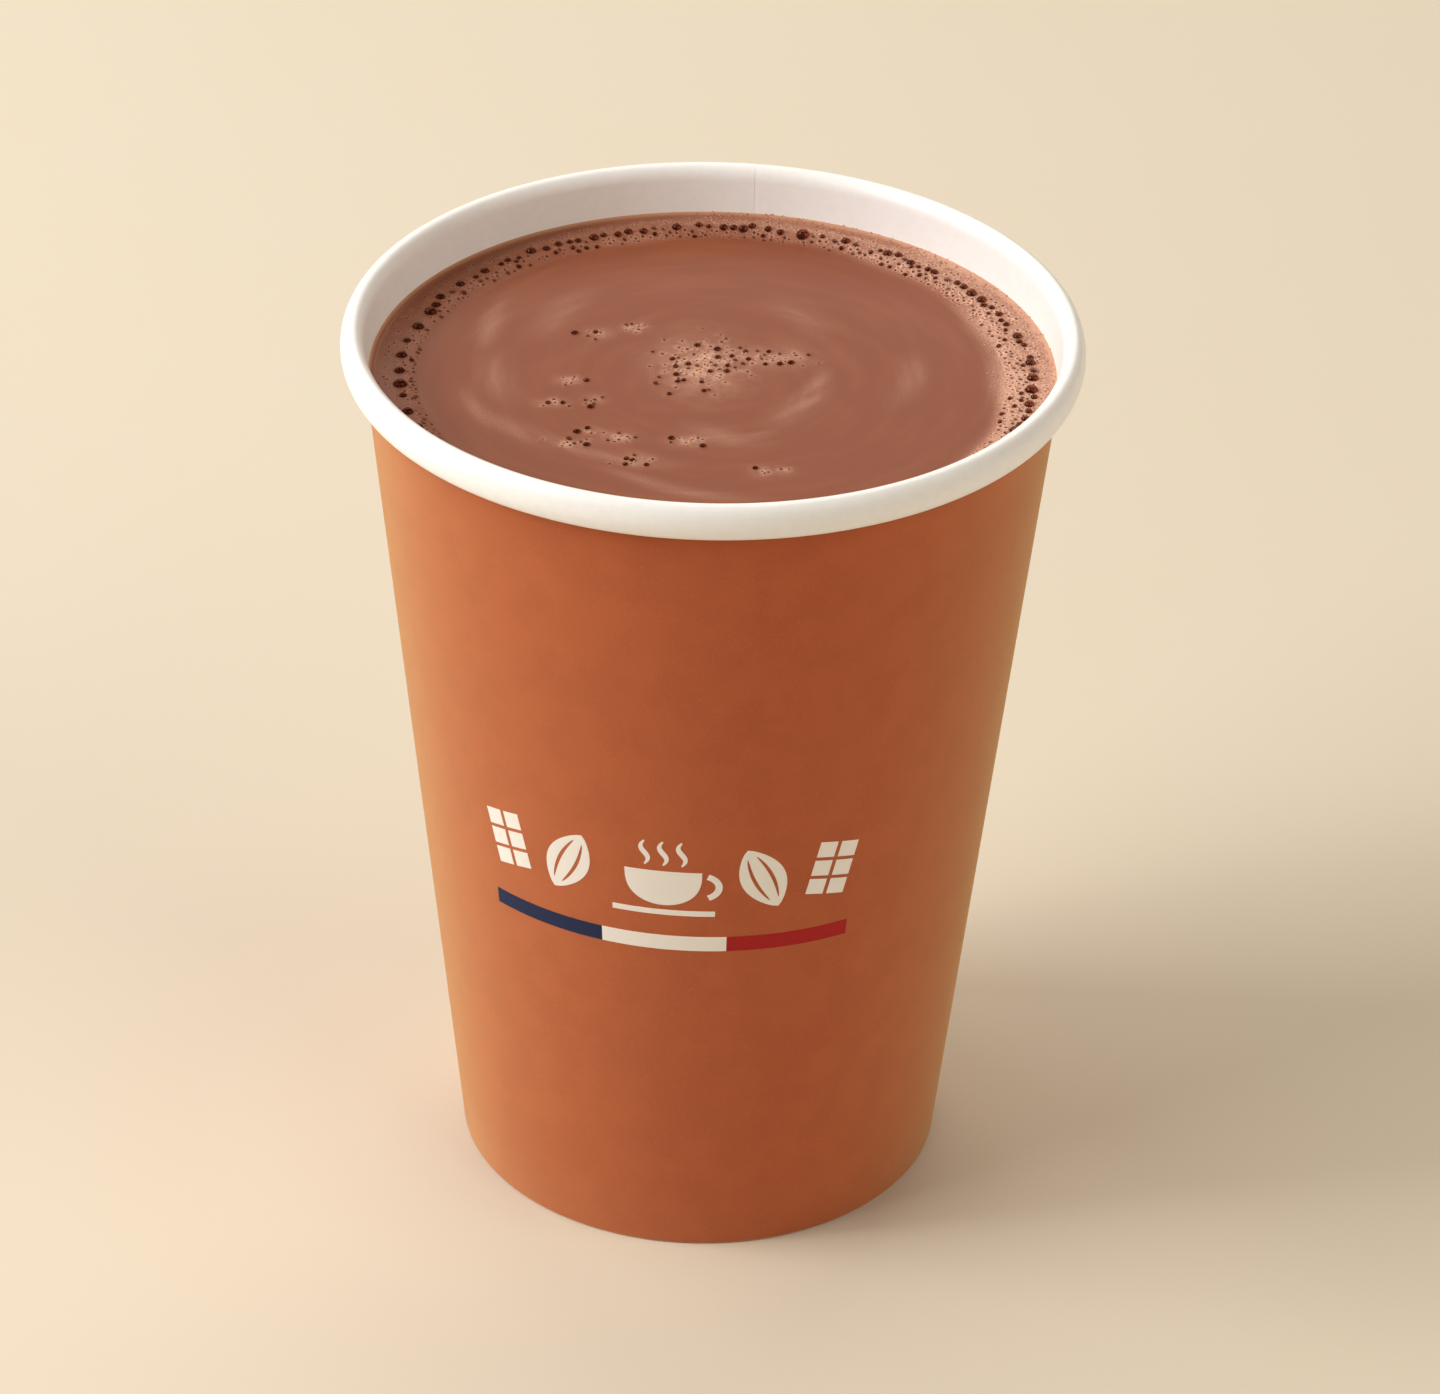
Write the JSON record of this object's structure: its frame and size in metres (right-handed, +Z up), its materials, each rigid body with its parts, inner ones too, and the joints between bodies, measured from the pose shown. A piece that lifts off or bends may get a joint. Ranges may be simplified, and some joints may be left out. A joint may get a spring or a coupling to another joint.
{
  "type": "hot chocolate",
  "caption": "Tapered single-wall paper cup with a rolled white rim and an orange-brown printed wall, filled nearly to the brim with frothy hot chocolate.",
  "frame": {"origin": "on the table, under the cup's axis", "axes": "+Z up along the cup's axis, -Y is the front with the printed stripe, and the wall's lapped seam is at +Y, the back"},
  "size_m": [0.09, 0.09, 0.115],
  "materials": {
    "printed_paper": "matte orange-brown ink on uncoated board outside, bare white coated board inside and on the rolled rim",
    "coated_paper": "white board with a thin smooth plastic lining on its upper face",
    "drink": "opaque milky brown liquid with a wet gloss, fine froth and bubbles at its edge"
  },
  "bodies": {
    "root": {"cup_wall": "printed_paper", "cup_bottom": "coated_paper", "hot_chocolate": "drink"}
  },
  "joints": []
}
